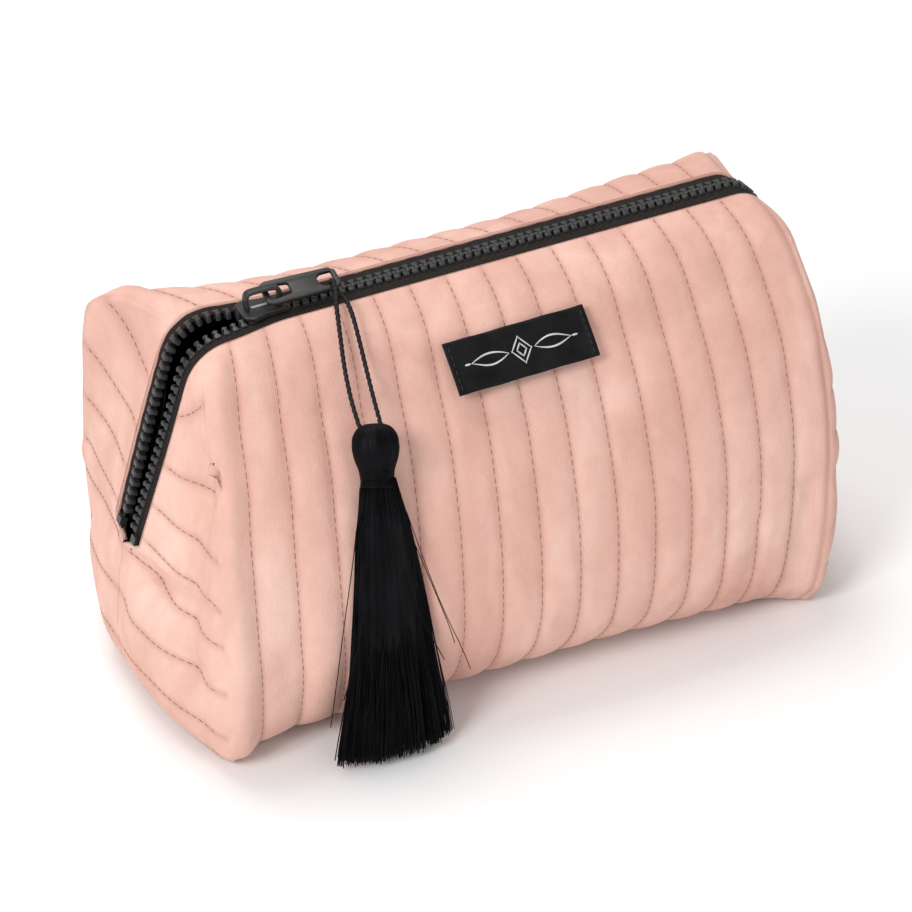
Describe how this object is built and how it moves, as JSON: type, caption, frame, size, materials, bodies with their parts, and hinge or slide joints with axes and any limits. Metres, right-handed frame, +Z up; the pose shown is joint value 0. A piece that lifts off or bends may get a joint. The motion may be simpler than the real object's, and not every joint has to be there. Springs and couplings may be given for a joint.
{
  "type": "makeup bag",
  "caption": "Boxy quilted velvet makeup bag with a zip along its top and down both ends, and a tassel on the zip's pull tab.",
  "frame": {"origin": "middle of the flat base", "axes": "+X along the bag towards the closed end of the zip, the front faces -Y, +Z up"},
  "size_m": [0.2291, 0.1358, 0.1272],
  "materials": {
    "velvet": "quilted crushed velvet, soft sheen",
    "wadding": "soft white polyester wadding",
    "lining": "smooth black satin lining",
    "quilt_thread": "matte polyester thread",
    "binding": "matte woven tape",
    "zip_tape": "fine woven tape",
    "zip_teeth": "moulded acetal, half gloss",
    "label": "black satin ribbon",
    "slider": "moulded, satin",
    "spring": "plain spring steel",
    "pull_tab": "moulded, satin",
    "cord": "twisted rayon cord",
    "tassel": "glossy rayon threads"
  },
  "bodies": {
    "bag": {"front_panel": "velvet", "back_panel": "velvet", "front_wadding": "wadding", "back_wadding": "wadding", "front_lining": "lining", "back_lining": "lining", "front_quilt_thread": "quilt_thread", "back_quilt_thread": "quilt_thread", "front_left_corner_binding": "binding", "front_right_corner_binding": "binding", "back_left_corner_binding": "binding", "back_right_corner_binding": "binding", "left_end_binding": "binding", "right_end_binding": "binding", "base_seam_binding": "binding", "front_zip_tape": "zip_tape", "back_zip_tape": "zip_tape", "front_zip_teeth": "zip_teeth", "back_zip_teeth": "zip_teeth", "zip_top_stops": "zip_teeth", "zip_bottom_stop": "zip_teeth", "label_patch": "label", "label_stitching": "quilt_thread"},
    "slider": {"zip_slider_body": "slider", "slider_crown": "slider", "slider_lock_spring": "spring"},
    "pull_tab": {"pull_tab": "pull_tab"},
    "loop": {"tassel_loop": "cord"},
    "tassel": {"tassel_head": "tassel", "tassel_collar": "tassel", "tassel_skirt": "tassel"}
  },
  "joints": [
    {"name": "zip_slide", "type": "slide", "parent": "bag", "child": "slider", "axis": [0.9983, 0, 0.0576], "range_m": [0, 0.142], "deforming": ["front_zip_teeth", "back_zip_teeth"]},
    {"name": "tab_flip", "type": "hinge", "parent": "slider", "child": "pull_tab", "pos_m": [-0.06611, 0, 0.12246], "axis": [0.0197, -0.9397, -0.3415], "range_deg": [0, 160], "deforming": ["tassel_loop"]},
    {"name": "loop_swing", "type": "hinge", "parent": "pull_tab", "child": "loop", "pos_m": [-0.04635, -0.00291, 0.1218], "axis": [-0.9983, 0, -0.0576], "range_deg": [0, 150], "deforming": ["tassel_loop"]},
    {"name": "tassel_sway", "type": "hinge", "parent": "loop", "child": "tassel", "pos_m": [-0.0535, -0.0475, 0.0995], "axis": [0, 1, 0], "range_deg": [-20, 20], "deforming": ["tassel_loop"]}
  ]
}
